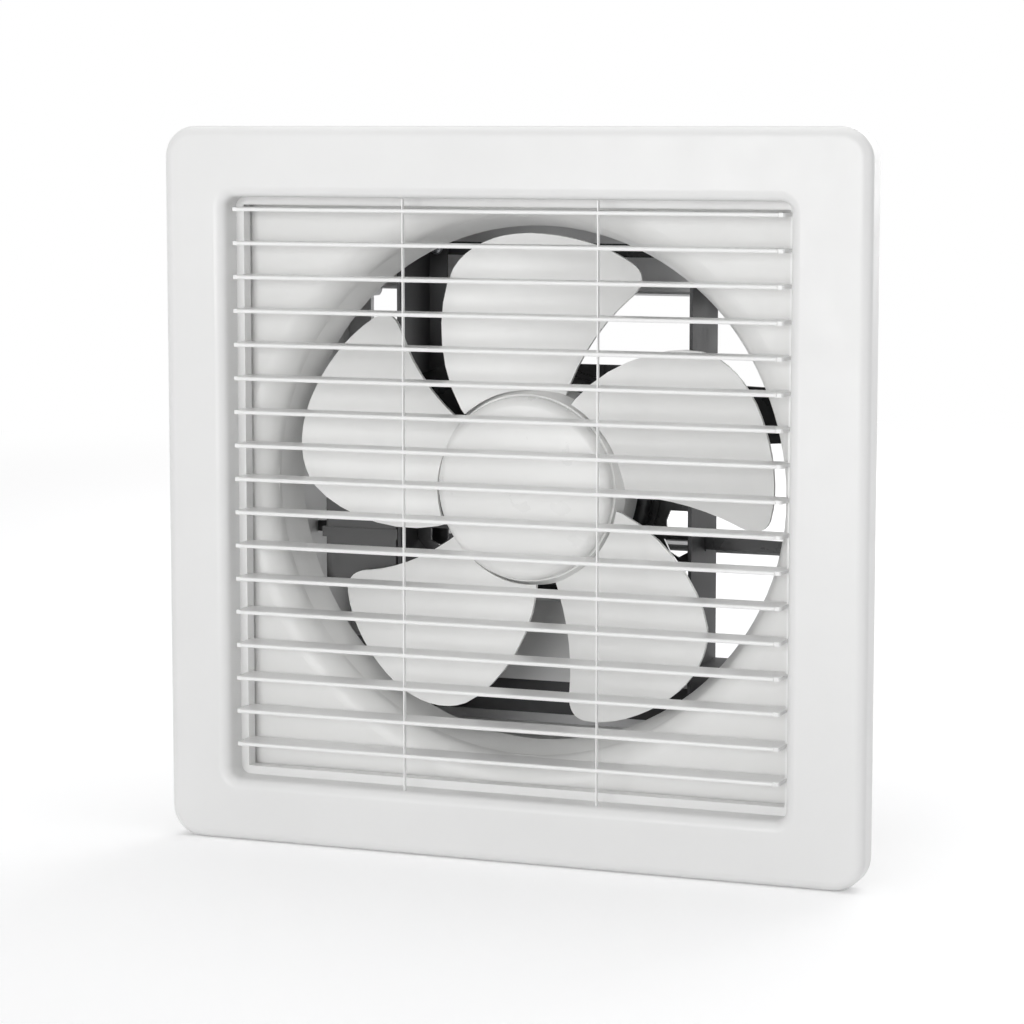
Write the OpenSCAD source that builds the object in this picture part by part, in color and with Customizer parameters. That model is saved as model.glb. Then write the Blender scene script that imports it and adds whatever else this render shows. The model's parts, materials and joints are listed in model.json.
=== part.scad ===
// Wall exhaust fan with a square louvred cover, a five-blade impeller and rear shutters.
// Origin: on the fan axis, in the plane of the wall. -Y faces the room, +Y goes through the wall, +Z is up.

/* [Cover panel] */
// Overhang of the panel past the housing's flange at each side
panel_overhang_x = 11; // [9:0.5:30]
// Overhang of the panel past the housing's flange at the top and bottom
panel_overhang_z = 9; // [8:0.5:30]
// Depth of the cover panel from the wall to its face
panel_depth = 15; // [14:0.5:20]
// Plan radius of the panel's outer corners
panel_corner_r = 15; // [12:0.5:18]
// Radius of the soft edges at the panel's rim and at the recess
panel_edge_r = 5; // [3:0.5:5.5]
// Wall thickness of the panel moulding
panel_wall = 3; // [2:0.25:3.5]
// Sideways offset of the panel's centre from the fan axis
panel_shift_x = 2; // [0:0.5:2.5]
// Upward offset of the panel's centre from the fan axis
panel_shift_z = -1.7; // [-2:0.1:0]

/* [Louvre grille] */
// Inset of the recess from the pan's inner wall at each side
recess_inset_x = 8.5; // [7.5:0.5:9.5]
// Inset of the recess from the pan's inner wall at the top and bottom
recess_inset_z = 8; // [7.5:0.5:9]
// Sideways offset of the recess from the fan axis
recess_shift_x = -0.8; // [-1.5:0.1:1]
// Upward offset of the recess from the fan axis
recess_shift_z = -3.2; // [-3.5:0.1:0]
// Number of slats
slat_count = 17; // [9:1:17]
// Gap between the top slat's middle and the top of the recess
slat_top_gap = 6; // [4:0.5:10]
// Gap between the bottom slat's middle and the bottom of the recess
slat_bottom_gap = 17; // [6:0.5:20]
// Thickness of a slat
slat_t = 1.8; // [1.2:0.1:3]
// Setback of the slats behind the panel's face
slat_setback = 2; // [1:0.5:4]
// Gap between a slat's end and the recess wall
slat_end_gap = 3.2; // [2:0.1:3.5]
// Distance of each thin upright rib from the middle of the recess
rib_offset = 48.6; // [30:0.1:70]
// Width of a thin upright rib
rib_w = 0.5; // [0.4:0.1:2]
// Width of the frame round the slats
ring_w = 7; // [6.5:0.1:8]
// Depth of the frame round the slats
ring_depth = 7; // [5:0.5:8]

/* [Housing] */
// Width of the pan's floor between the bell mouth and the pan's wall
pan_rim = 7.2; // [7:0.1:14]
// Distance from the wall plane to the front of the pan's floor
pan_floor_y = 9.5; // [9:0.1:11]
// Wall thickness of the housing
housing_wall = 2.5; // [2:0.1:3]
// Width of the flange round the pan that rests on the wall
flange_rim = 15; // [13:0.5:16]
// Distance of the wall screw holes from the flange's edges
wall_hole_inset = 6.5; // [5.5:0.5:7.5]
// Radius of the wall screw holes
wall_hole_r = 2.5; // [2:0.1:2.6]
// Rounding radius of the bell mouth
bell_round_r = 12.8; // [11:0.1:15]
// Clearance between the blade tips and the throat's rear edge
tip_gap = 3.3; // [2:0.1:6]
// Narrowing of the throat from its lip to its rear edge
throat_taper = 4.8; // [4:0.1:6]
// Length of the throat behind the bell mouth
throat_l = 15.7; // [14:0.1:17]
// Clearance between the throat and the square duct's walls
duct_gap = 4.8; // [4:0.1:7]

/* [Impeller] */
// Number of blades
blade_count = 5; // [3:1:5]
// Radius of the blade tips
blade_tip_r = 120.9; // [108:0.1:136]
// Thickness of a blade
blade_t = 2.2; // [1.8:0.1:2.6]
// Bending radius of a blade across its width
blade_curve_r = 300; // [280:5:500]
// Pitch of a blade
blade_pitch_deg = 11; // [8:0.5:11.5]
// Distance from the hub's front rim to the middle of the blades
blade_setback = 4.5; // [4:0.1:4.8]
// Turn of the whole impeller about its axis
blade_turn_deg = 0; // [-36:1:36]
// Radius of the hub
hub_r = 47.5; // [46:0.5:48]
// Distance from the wall plane to the hub's front rim
hub_front_y = 22; // [21.8:0.1:22.4]
// Depth of the hub
hub_depth = 25; // [24:0.5:26]
// Radius of the spinner cap's face
cap_face_r = 44; // [43:0.5:44.5]
// Depth of the cap in front of the hub
cap_depth = 8.2; // [8:0.1:9]
// Rounding of the cap's rim
cap_round_r = 5; // [4:0.5:5.5]

/* [Motor] */
// Radius of the motor shell
motor_r = 46; // [44:0.5:47]
// Width of the motor's mounting flange between its ears
motor_flange_rim = 2.5; // [2:0.5:4]
// Radius of the rounded front of the motor
motor_front_r = 51.5; // [50:0.5:52]
// Gap between the hub's rear edge and the motor's nose
motor_gap = 3; // [2:0.5:5]
// Length of the motor from its nose to its rear face
motor_l = 54; // [52:0.5:60]
// Radius of the motor shaft
shaft_r = 4; // [3.5:0.1:4.5]
// Radius of the rotor
rotor_r = 24.4; // [22:0.1:26]
// Distance of the motor screws outside the rounded front
motor_screw_offset = 4.5; // [4:0.5:5.5]

/* [Motor support] */
// Distance of each leg's outer face from the fan axis as a share of the duct's half width
leg_share = 0.5876; // [0.575:0.0001:0.6]
// Clearance between the blades and the front edges of the legs
leg_gap = 0.6; // [0.5:0.1:1.5]
// Distance from the bracket plate's front face to the rear face of the legs
leg_setback = 18; // [17:0.5:19]
// Sheet thickness of the legs, bars and bracket
sheet_t = 1.6; // [1.2:0.1:2]
// Width of the folded rear flange of a leg
leg_flange_w = 11; // [8:0.5:12]
// Distance from the motor's nose to the front face of the bracket plate
bracket_setback = 14; // [13:0.5:15]
// Height of the top edge of the bracket above the fan axis
bracket_top_z = 56.6; // [56:0.1:60]
// Depth of the bracket's bottom edge below the fan axis
bracket_bottom_z = 58; // [57.5:0.1:60]
// Distance of the upper tie bar's middle from the duct's top wall
top_tie_inset = 18; // [16:0.5:21]
// Height of the upper tie bar
top_tie_h = 6.5; // [5:0.5:10]
// Gap between the terminal box and the lower tie plate
bottom_tie_gap = 2.5; // [2:0.5:4]
// Height of the lower tie plate
bottom_tie_h = 17; // [12:0.5:18]

/* [Electrical boxes] */
// Width of the terminal box under the motor
box_w = 96; // [80:1:110]
// Distance from the duct's bottom wall to the terminal box, less the box's gap to the bracket
box_floor_gap = 31; // [31:0.5:35]
// Depth of the terminal box
box_d = 26; // [20:1:28]
// Wall thickness of the terminal box
box_wall = 2; // [1.6:0.1:2.5]
// Bore radius of the cable inlet
inlet_bore_r = 3.5; // [3:0.1:4]
// Width of the capacitor
capacitor_w = 38; // [30:1:40]
// Height of the capacitor
capacitor_h = 58; // [50:1:62]

/* [Rear shutters] */
// Distance of the top shutter's pivots from the duct's top wall
shutter_top_inset = 39; // [37:0.5:41]
// Distance of the bottom shutter's lower edge from the duct's bottom wall
shutter_bottom_inset = 27; // [25:0.5:32]
// Width of the rear frame beside the shutters, from the duct's side wall
shutter_side_inset = 12; // [10:0.5:14]
// Thickness of a shutter blade
shutter_t = 1.4; // [1:0.1:2]
// Opening angle of the shutters as shown, from hanging shut
shutter_open_deg = 85; // [60:1:86]
// Radius of the shutter pivots
pivot_r = 1.6; // [1.4:0.1:2]
// Length of the shutters' crank arms
crank_l = 13; // [11:0.5:14]
// Distance of the shutter pivots behind the rear frame
pivot_standoff = 7; // [6.5:0.5:8]

/* [Fits] */
// Running clearance between a shaft and its hole
run_gap = 0.05; // [0.02:0.01:0.09]
// Gap between parts that sit next to each other
part_gap = 0.3; // [0.2:0.05:0.4]

/* [Hidden] */
$fn = 96;
throat_r = blade_tip_r + tip_gap;
lip_r = throat_r + throat_taper;
bell_r = lip_r + bell_round_r;
lip_y = pan_floor_y + bell_round_r;
throat_y = lip_y + throat_l;
pan_w = 2 * (bell_r + pan_rim);
pan_outer_w = pan_w + 2 * housing_wall;
flange_w = pan_w + 2 * flange_rim;
flange_t = 2.4;
flange_corner_r = 6;
wall_hole_pitch = flange_w - 2 * wall_hole_inset;
duct_wall = 3;
duct_half = throat_r + duct_gap;
duct_w = 2 * duct_half;
duct_outer_w = duct_w + 2 * duct_wall;
duct_plate_y = lip_y - 2.3;
panel_w = flange_w + 2 * panel_overhang_x;
panel_h = flange_w + 2 * panel_overhang_z;
face_y = -panel_depth;
panel_rib_t = 1.6;
recess_w = pan_w - 2 * recess_inset_x;
recess_h = pan_w - 2 * recess_inset_z;
recess_corner_r = 5;
panel_rib_at = recess_w / 2 - 40.5;
slat_pitch = (recess_h - slat_top_gap - slat_bottom_gap) / (slat_count - 1);
slat_top_z = recess_shift_z + recess_h / 2 - slat_top_gap;
slat_front_y = face_y + slat_setback;
slat_half = recess_w / 2 - slat_end_gap;
slat_root_y = 4;
slat_tip_r = 3;
slat_nose_r = slat_t / 2;
slat_lap = 0.5;
rib_d = 2.4;
ring_out_w = recess_w + 2 * panel_wall;
ring_out_h = recess_h + 2 * panel_wall;
ring_in_w = ring_out_w - 2 * ring_w;
ring_in_h = ring_out_h - 2 * ring_w;
clip_w = 14;
clip_t = 0.8;
clip_z = pan_w / 2 - 59;
clip_front_y = 0.6;
clip_l = 8.2;
clip_bend_l = 3.2;
hub_rear_y = hub_front_y + hub_depth;
hub_wall = 2.5;
hub_front_r = hub_r - 2.6;
hub_taper = 7;
cap_front_y = hub_front_y - cap_depth;
dome_r = 600;
blade_mid_y = hub_front_y + blade_setback;
blade_half_w = 0.434 * blade_tip_r;
blade_rear_y = blade_mid_y + blade_half_w * sin(blade_pitch_deg)
  + blade_half_w * blade_half_w / (2 * blade_curve_r) + blade_t / 2;
motor_front_y = hub_rear_y + motor_gap;
motor_rear_y = motor_front_y + motor_l;
bracket_y = motor_front_y + bracket_setback;
bracket_rear_y = bracket_y + sheet_t;
shell_t = 2;
motor_flange_r = motor_front_r + motor_flange_rim;
motor_screw_pcr = motor_front_r + motor_screw_offset;
shell_joint_y = bracket_y + 20;
stator_front_y = bracket_y + 4;
stator_rear_y = motor_rear_y - 12;
stator_r = motor_r - shell_t - part_gap;
air_gap = 0.6;
winding_in_r = rotor_r + 3;
winding_out_r = stator_r - 4;
winding_l = 6;
bearing_r = 9;
bearing_l = 8;
bearing_front_y = motor_front_y + shell_t + part_gap;
bearing_rear_y = motor_rear_y - shell_t - part_gap - bearing_l;
duct_y = motor_rear_y + 1;
boss_outer_r = 5.2;
boss_l = 12;
frame_t = 4;
frame_rear_y = duct_y + frame_t;
frame_corner_r = 4;
frame_screw_at = duct_half - 5;
frame_screw_l = 12;
screw_r = 2;
screw_head_r = 3.2;
screw_head_h = 2;
screw_gap = 0.15;
tie_half = duct_half - part_gap;
leg_x = duct_half * leg_share;
leg_front_y = blade_rear_y + leg_gap;
leg_rear_y = bracket_y + leg_setback;
web_in_x = leg_x - sheet_t;
flange_in_x = leg_x - leg_flange_w;
top_tie_z = duct_half - top_tie_inset;
box_gap = 2.5;
box_h = duct_half - bracket_bottom_z - box_floor_gap;
box_top_z = -bracket_bottom_z - box_gap;
box_bottom_z = box_top_z - box_h;
bottom_tie_z = -box_bottom_z + bottom_tie_gap + bottom_tie_h / 2;
tie_front_y = leg_rear_y;
tie_rear_y = leg_rear_y + sheet_t;
leg_top_z = top_tie_z + top_tie_h / 2;
leg_bottom_z = -bottom_tie_z - bottom_tie_h / 2;
leg_screw_x = leg_x - leg_flange_w / 2;
leg_screw_l = 7;
shelf_z = -duct_half + 42.6;
shelf_tab_h = 14;
shelf_tab_l = 16;
shelf_screw_y = bracket_y - 4;
tab_end_y = duct_y - boss_l - 0.5;
tab_screw_y = leg_rear_y + 6;
duct_screw_l = sheet_t + part_gap + duct_wall + 1;
ear_h = 16;
ear_z = 10;
ear_end_y = bracket_y + 14;
ear_screw_y = bracket_y + 8;
ear_screw_l = 6;
motor_screw_l = 7;
motor_ear_r = 5;
arm_in_x = web_in_x - 8.2;
// Lowest and highest point of each arm where it passes a leg
arm_spans = [[18, 49.6], [-31.2, -24]];
arm_end_top_z = 47;
arm_end_bottom_z = 22.5;
window_x = web_in_x - 7.2;
nut_r = 8;
nut_h = 5;
nut_front_y = hub_front_y - nut_h;
stud_r = 3;
stud_front_y = nut_front_y - 0.6;
boss_r = 10;
boss_rear_y = hub_front_y + 20;
pin_r = 1.5;
pin_half = 8.5;
pin_y = boss_rear_y - 2;
shutter_y = frame_rear_y + pivot_standoff;
shutter_top_z = duct_half - shutter_top_inset;
shutter_pitch = (duct_w - shutter_top_inset - shutter_bottom_inset) / 3;
shutter_open_w = duct_w - 2 * shutter_side_inset;
shutter_len = shutter_pitch - 2 * pivot_r - 2;
shutter_left_x = -shutter_open_w / 2 + 1;
shutter_right_x = shutter_open_w / 2 - 11;
shutter_lip = 3;
crank_x = shutter_right_x + 3;
crank_t = 2;
crank_eye_r = 3.2;
crank_pin_r = 1.2;
crank_arm_w = 5.2;
crank_lift_deg = shutter_open_deg / 2;
rod_t = 1.6;
rod_w = 6;
rod_end = 4;
rod_near_x = crank_x + crank_t + part_gap;
loose_gap = 0.3;
lug_in_x = shutter_open_w / 2 + part_gap;
lug_t = 4;
lug_r = 5;
frame_top_z = shutter_top_z + 0.4;
frame_bottom_z = shutter_top_z - 3 * shutter_pitch + 2;
box_front_y = bracket_rear_y;
box_rear_y = box_front_y + box_d;
box_post_r = 4;
box_corner_r = 4;
box_post_x = box_w / 2 - box_wall - 2.4;
box_post_z = box_h / 2 - box_wall - 2.4;
box_mid_z = box_bottom_z + box_h / 2;
box_screw_l = 12;
box_tab_x = 40.5;
box_tab_w = 9;
inlet_x = 20;
inlet_y = box_front_y + 8;
gland_r = 7;
gland_spigot_r = 5.5;
gland_l = 12;
cable_window_w = 2 * gland_r + 4;
capacitor_right_x = -leg_x - 1.2;
capacitor_front_y = leg_front_y + 1;
capacitor_rear_y = bracket_y - part_gap;
capacitor_top_z = 4;
strap_t = 0.8;
strap_h = 5;
strap_z = -28.5;

// Colours
white_plastic = [0.92, 0.92, 0.91];
grey_plastic = [0.6, 0.6, 0.6];
dark_plastic = [0.35, 0.35, 0.36];
black_steel = [0.12, 0.12, 0.12];
bright_steel = [0.7, 0.7, 0.72];
copper_wire = [0.72, 0.45, 0.2];
bronze_metal = [0.7, 0.55, 0.3];

// Shared shapes

// Extrudes an outline drawn in X and Z from y0 to y1.
module plate(y0, y1) {
  translate([0, y1, 0])
    rotate([90, 0, 0])
      linear_extrude(height = y1 - y0)
        children();
}

// Revolves a profile drawn as radius and Y about the fan axis.
module turned() {
  rotate([-90, 0, 0])
    rotate_extrude()
      children();
}

// A round bar along Y.
module rod_y(r, y0, y1) {
  translate([0, y0, 0])
    rotate([-90, 0, 0])
      cylinder(r = r, h = y1 - y0);
}

// A round bar along X.
module rod_x(r, x0, x1) {
  translate([x0, 0, 0])
    rotate([0, 90, 0])
      cylinder(r = r, h = x1 - x0);
}

module rect(w, h) {
  square([w, h], center = true);
}

module round_rect(w, h, r) {
  union() {
    rect(w - 2 * r, h);
    rect(w, h - 2 * r);
    for (x = [-1, 1])
      for (z = [-1, 1])
        translate([x * (w / 2 - r), z * (h / 2 - r)])
          circle(r);
  }
}

module box(x0, x1, y0, y1, z0, z1) {
  translate([x0, y0, z0])
    cube([x1 - x0, y1 - y0, z1 - z0]);
}

// Runs a profile, drawn as distance from the corner's centre and Y, round a rectangle.
// w and h are the distances between the corners' centres.
module run_round(w, h) {
  for (s = [0, 1]) {
    mirror([s, 0, 0])
      translate([w / 2, 0, -h / 2])
        linear_extrude(height = h)
          children();
    mirror([0, 0, s])
      rotate([0, -90, 0])
        translate([h / 2, 0, -w / 2])
          linear_extrude(height = w)
            children();
  }
  for (a = [0, 1])
    for (b = [0, 1])
      mirror([a, 0, 0])
        mirror([0, 0, b])
          translate([w / 2, 0, h / 2])
            rotate([-90, 0, 0])
              rotate([0, 0, -90])
                rotate_extrude(angle = 90)
                  children();
}

// A headed screw along +Y with its head's underside at y = 0.
module screw(l) {
  union() {
    rod_y(screw_head_r, -screw_head_h, 0);
    rod_y(screw_r, 0, l);
  }
}

// Cover

module rim_profile() {
  difference() {
    union() {
      translate([0, -panel_depth])
        square([panel_corner_r - panel_edge_r, panel_depth]);
      translate([0, panel_edge_r - panel_depth])
        square([panel_corner_r, panel_depth - panel_edge_r]);
      translate([panel_corner_r - panel_edge_r, panel_edge_r - panel_depth])
        circle(panel_edge_r);
    }
    translate([-1, panel_wall - panel_depth])
      square([panel_corner_r - panel_wall + 1, panel_depth]);
  }
}

module lip_profile() {
  wall_at = recess_corner_r;
  difference() {
    union() {
      translate([wall_at, panel_edge_r - panel_depth])
        square([panel_wall + 2, panel_depth - panel_edge_r]);
      translate([wall_at + panel_edge_r, panel_edge_r - panel_depth])
        circle(panel_edge_r);
      translate([wall_at + panel_edge_r, -panel_depth])
        square([panel_edge_r, panel_wall]);
    }
    translate([wall_at + panel_wall, panel_wall - panel_depth])
      square([20, panel_depth + 1]);
  }
}

module front_panel() {
  core_w = panel_w - 2 * panel_corner_r;
  core_h = panel_h - 2 * panel_corner_r;
  lap = 0.5;
  lip_w = recess_w + 4 * panel_edge_r;
  lip_h = recess_h + 4 * panel_edge_r;
  color(white_plastic)
    union() {
      translate([panel_shift_x, 0, panel_shift_z])
        run_round(core_w, core_h)
          rim_profile();
      translate([recess_shift_x, 0, recess_shift_z])
        run_round(recess_w - 2 * recess_corner_r, recess_h - 2 * recess_corner_r)
          lip_profile();
      plate(face_y, face_y + panel_wall)
        difference() {
          translate([panel_shift_x, panel_shift_z])
            rect(core_w + 2 * lap, core_h + 2 * lap);
          translate([recess_shift_x, recess_shift_z])
            round_rect(lip_w - 2 * lap, lip_h - 2 * lap, recess_corner_r + 2 * panel_edge_r - lap);
        }
      panel_ribs();
    }
}

// Stiffening ribs in the hollow behind the panel's face.
module panel_ribs() {
  rib_rear_y = -flange_t - 2;
  wall_x = recess_w / 2 + panel_wall - 1;
  wall_z = recess_h / 2 + panel_wall - 1;
  for (k = [-1, 0, 1]) {
    for (s = [-1, 1]) {
      out_x = panel_shift_x + s * (panel_w / 2 - panel_wall + 1);
      in_x = recess_shift_x + s * wall_x;
      out_z = panel_shift_z + s * (panel_h / 2 - panel_wall + 1);
      in_z = recess_shift_z + s * wall_z;
      box(min(out_x, in_x), max(out_x, in_x), face_y + panel_wall - 1, rib_rear_y,
          k * panel_rib_at - panel_rib_t / 2, k * panel_rib_at + panel_rib_t / 2);
      box(k * panel_rib_at - panel_rib_t / 2, k * panel_rib_at + panel_rib_t / 2,
          face_y + panel_wall - 1, rib_rear_y,
          min(out_z, in_z), max(out_z, in_z));
    }
  }
}

// One slat in plan, drawn in X and Y.
module slat_plan() {
  union() {
    translate([-slat_half, slat_front_y + slat_tip_r])
      square([2 * slat_half, -slat_front_y - slat_tip_r]);
    translate([-slat_half + slat_tip_r, slat_front_y + slat_nose_r])
      square([2 * (slat_half - slat_tip_r), slat_tip_r]);
    for (s = [-1, 1])
      translate([s * (slat_half - slat_tip_r), slat_front_y + slat_tip_r])
        intersection() {
          circle(slat_tip_r);
          translate([-slat_tip_r, -slat_tip_r + slat_nose_r])
            square([2 * slat_tip_r, 2 * slat_tip_r]);
        }
    translate([-ring_in_w / 2 - slat_lap, -1])
      square([ring_in_w + 2 * slat_lap, slat_root_y + 1]);
  }
}

module louvre_grille() {
  rib_y = slat_front_y + 0.6;
  color(white_plastic)
    translate([recess_shift_x, 0, 0])
      union() {
        for (i = [0 : slat_count - 1])
          translate([0, 0, slat_top_z - i * slat_pitch]) {
            translate([0, 0, -slat_t / 2])
              linear_extrude(height = slat_t)
                slat_plan();
            translate([0, slat_front_y + slat_nose_r, 0])
              rod_x(slat_nose_r, -slat_half + slat_tip_r, slat_half - slat_tip_r);
          }
        for (s = [-1, 1])
          box(s * rib_offset - rib_w / 2, s * rib_offset + rib_w / 2, rib_y, rib_y + rib_d,
              recess_shift_z - recess_h / 2 + part_gap, recess_shift_z + recess_h / 2 - part_gap);
        translate([0, 0, recess_shift_z])
          plate(0, ring_depth)
            difference() {
              round_rect(ring_out_w, ring_out_h, recess_corner_r + panel_wall);
              rect(ring_in_w, ring_in_h);
            }
      }
}

// Bent spring strips that grip the pan when the cover is pushed on.
module cover_clips() {
  color(bright_steel)
    for (s = [-1, 1])
      for (z = [-clip_z, clip_z]) {
        base_x = s * recess_shift_x + ring_out_w / 2;
        tip_x = pan_w / 2 - part_gap;
        mirror([s < 0 ? 1 : 0, 0, 0])
          translate([0, 0, z - clip_w / 2])
            linear_extrude(height = clip_w)
              translate([0, clip_front_y])
                difference() {
                  polygon([[base_x, 0], [base_x + clip_t, 0], [tip_x, clip_bend_l],
                           [tip_x, clip_bend_l + 1.5 * clip_t],
                           [base_x + clip_t, clip_l], [base_x, clip_l]]);
                  polygon([[base_x + clip_t, 1.5 * clip_t], [tip_x - clip_t, clip_bend_l + 0.5 * clip_t],
                           [tip_x - clip_t, clip_bend_l + clip_t], [base_x + clip_t, clip_l - 1.5 * clip_t]]);
                }
      }
}

// Housing

// Bell mouth and throat in section, drawn as radius and Y.
module bell_profile() {
  intersection() {
    translate([bell_r, lip_y])
      difference() {
        circle(bell_round_r);
        circle(bell_round_r - housing_wall);
      }
    translate([bell_r - bell_round_r, pan_floor_y])
      square([bell_round_r, bell_round_r]);
  }
  polygon([[lip_r, lip_y], [lip_r + housing_wall, lip_y],
           [throat_r + housing_wall, throat_y], [throat_r, throat_y]]);
}

module wall_holes() {
  for (x = [-1, 1])
    for (z = [-1, 1])
      translate([x * wall_hole_pitch / 2, z * wall_hole_pitch / 2])
        circle(wall_hole_r);
}

module housing_gussets() {
  gusset_t = 2.5;
  gusset_at = duct_half - 59;
  foot = pan_outer_w / 2 - duct_outer_w / 2 - 1;
  for (a = [0 : 90 : 270])
    rotate([0, a, 0])
      for (z = [-gusset_at, gusset_at])
        translate([duct_outer_w / 2 - 0.5, pan_floor_y + housing_wall - 0.5, z - gusset_t / 2])
          linear_extrude(height = gusset_t)
            polygon([[0, 0], [foot, 0], [0, foot + 6]]);
}

module fan_housing() {
  color(white_plastic)
    difference() {
      union() {
        plate(-flange_t, 0)
          difference() {
            round_rect(flange_w, flange_w, flange_corner_r);
            rect(pan_w, pan_w);
            wall_holes();
          }
        plate(-flange_t, pan_floor_y + housing_wall)
          difference() {
            rect(pan_outer_w, pan_outer_w);
            rect(pan_w, pan_w);
          }
        plate(pan_floor_y, pan_floor_y + housing_wall)
          difference() {
            rect(pan_outer_w, pan_outer_w);
            circle(bell_r);
          }
        turned()
          bell_profile();
        plate(duct_plate_y, duct_plate_y + housing_wall)
          difference() {
            rect(duct_outer_w, duct_outer_w);
            circle(lip_r + housing_wall / 2);
          }
        plate(duct_plate_y, duct_y)
          difference() {
            rect(duct_outer_w, duct_outer_w);
            rect(duct_w, duct_w);
          }
        housing_gussets();
        for (x = [-1, 1])
          for (z = [-1, 1])
            translate([x * frame_screw_at, 0, z * frame_screw_at])
              rod_y(boss_outer_r, duct_y - boss_l, duct_y);
      }
      for (x = [-1, 1])
        for (z = [-1, 1])
          translate([x * frame_screw_at, 0, z * frame_screw_at])
            rod_y(screw_r + screw_gap, duct_y - boss_l + 2, duct_y + 1);
      for (x = [-1, 1]) {
        for (z = [top_tie_z, -bottom_tie_z])
          translate([0, tab_screw_y, z])
            rod_x(screw_r + screw_gap, min(x * (duct_half - 1), x * (duct_half + 5)),
                  max(x * (duct_half - 1), x * (duct_half + 5)));
        translate([0, shelf_screw_y, shelf_z + shelf_tab_h / 2])
          rod_x(screw_r + screw_gap, min(x * (duct_half - 1), x * (duct_half + 5)),
                max(x * (duct_half - 1), x * (duct_half + 5)));
      }
      box(inlet_x - cable_window_w / 2, inlet_x + cable_window_w / 2,
          inlet_y - cable_window_w / 2, inlet_y + cable_window_w / 2,
          -duct_half - duct_wall - 1, -duct_half + 1);
    }
}

// Motor support

// The right-hand upright leg. The left one is its mirror image.
module leg() {
  difference() {
    union() {
      box(web_in_x, leg_x, leg_front_y, leg_rear_y, leg_bottom_z, leg_top_z);
      box(flange_in_x, leg_x, leg_rear_y - sheet_t, leg_rear_y, leg_bottom_z, leg_top_z);
      box(leg_x - sheet_t, tie_half, leg_front_y, leg_rear_y, shelf_z - sheet_t, shelf_z);
      box(tie_half - sheet_t, tie_half, shelf_screw_y - shelf_tab_l / 2, shelf_screw_y + shelf_tab_l / 2,
          shelf_z - sheet_t, shelf_z + shelf_tab_h);
    }
    for (z = arm_spans)
      box(web_in_x - 1, leg_x + 1, bracket_y - part_gap, bracket_rear_y + part_gap,
          z[0] - 1, z[1] + 1);
    translate([0, ear_screw_y, ear_z])
      rod_x(screw_r + screw_gap, web_in_x - 1, leg_x + 1);
    translate([0, shelf_screw_y, shelf_z + shelf_tab_h / 2])
      rod_x(screw_r + screw_gap, tie_half - sheet_t - 1, tie_half + 1);
    for (z = [top_tie_z, -bottom_tie_z])
      translate([leg_screw_x, 0, z])
        rod_y(screw_r + screw_gap, leg_rear_y - sheet_t - 1, leg_rear_y + 1);
  }
}

module left_leg() {
  color(black_steel)
    mirror([1, 0, 0])
      leg();
}

module right_leg() {
  color(black_steel)
    leg();
}

// A bar from wall to wall behind the legs, with its ends bent back along the duct.
module tie(mid_z, h) {
  difference() {
    union() {
      box(-tie_half, tie_half, tie_front_y, tie_rear_y, mid_z - h / 2, mid_z + h / 2);
      for (s = [0, 1])
        mirror([s, 0, 0])
          box(tie_half - sheet_t, tie_half, tie_front_y, tab_end_y, mid_z - h / 2, mid_z + h / 2);
    }
    translate([0, tab_screw_y, mid_z])
      rod_x(screw_r + screw_gap, -tie_half - 1, tie_half + 1);
    for (x = [-1, 1])
      translate([x * leg_screw_x, 0, mid_z])
        rod_y(screw_r + screw_gap, tie_front_y - 1, tie_rear_y + 1);
  }
}

module top_tie_bar() {
  color(black_steel)
    tie(top_tie_z, top_tie_h);
}

module bottom_tie_plate() {
  color(black_steel)
    tie(-bottom_tie_z, bottom_tie_h);
}

module bracket_outline() {
  difference() {
    union() {
      for (s = [0, 1])
        mirror([s, 0]) {
          polygon([[-1, bracket_top_z], [window_x - 15, bracket_top_z], [web_in_x - part_gap, 49],
                   [web_in_x - part_gap, -33], [window_x - 15, -bracket_bottom_z],
                   [-1, -bracket_bottom_z]]);
          polygon([[arm_in_x, 49.4], [tie_half, arm_end_top_z], [tie_half, arm_end_bottom_z],
                   [arm_in_x, 18.2]]);
          polygon([[arm_in_x, -24.2], [tie_half, -26], [tie_half, -31.3], [arm_in_x, -31]]);
          translate([box_tab_x - box_tab_w / 2, box_top_z - 16])
            square([box_tab_w, 20]);
        }
    }
    circle(motor_r + part_gap);
    for (s = [0, 1])
      mirror([s, 0]) {
        translate([window_x, 0]) {
          polygon([[-9, -13], [0, -13], [0, -24], [-10.5, -24], [-11, -18]]);
          polygon([[-12, -27], [0, -27], [0, -33], [-4.5, -35.5], [-9, -33]]);
        }
      }
    for (a = [45 : 90 : 315])
      rotate(a)
        translate([motor_screw_pcr, 0])
          circle(screw_r + screw_gap);
    for (s = [-1, 1])
      translate([s * box_tab_x, box_top_z - 11])
        circle(screw_r + screw_gap);
  }
}

module motor_bracket() {
  color(black_steel)
    difference() {
      union() {
        plate(bracket_y, bracket_rear_y)
          bracket_outline();
        for (s = [0, 1])
          mirror([s, 0, 0]) {
            box(web_in_x - sheet_t, web_in_x, bracket_y, ear_end_y,
                ear_z - ear_h / 2, ear_z + ear_h / 2);
            box(tie_half - sheet_t, tie_half, bracket_y, ear_end_y, arm_end_bottom_z, arm_end_top_z);
          }
      }
      translate([0, ear_screw_y, ear_z])
        rod_x(screw_r + screw_gap, -leg_x - 1, leg_x + 1);
    }
}

// Screws that hold the legs to the tie bars.
module leg_screws() {
  color(bright_steel)
    for (x = [-1, 1])
      for (z = [top_tie_z, -bottom_tie_z])
        translate([x * leg_screw_x, leg_rear_y - sheet_t, z])
          screw(leg_screw_l);
}

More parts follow.
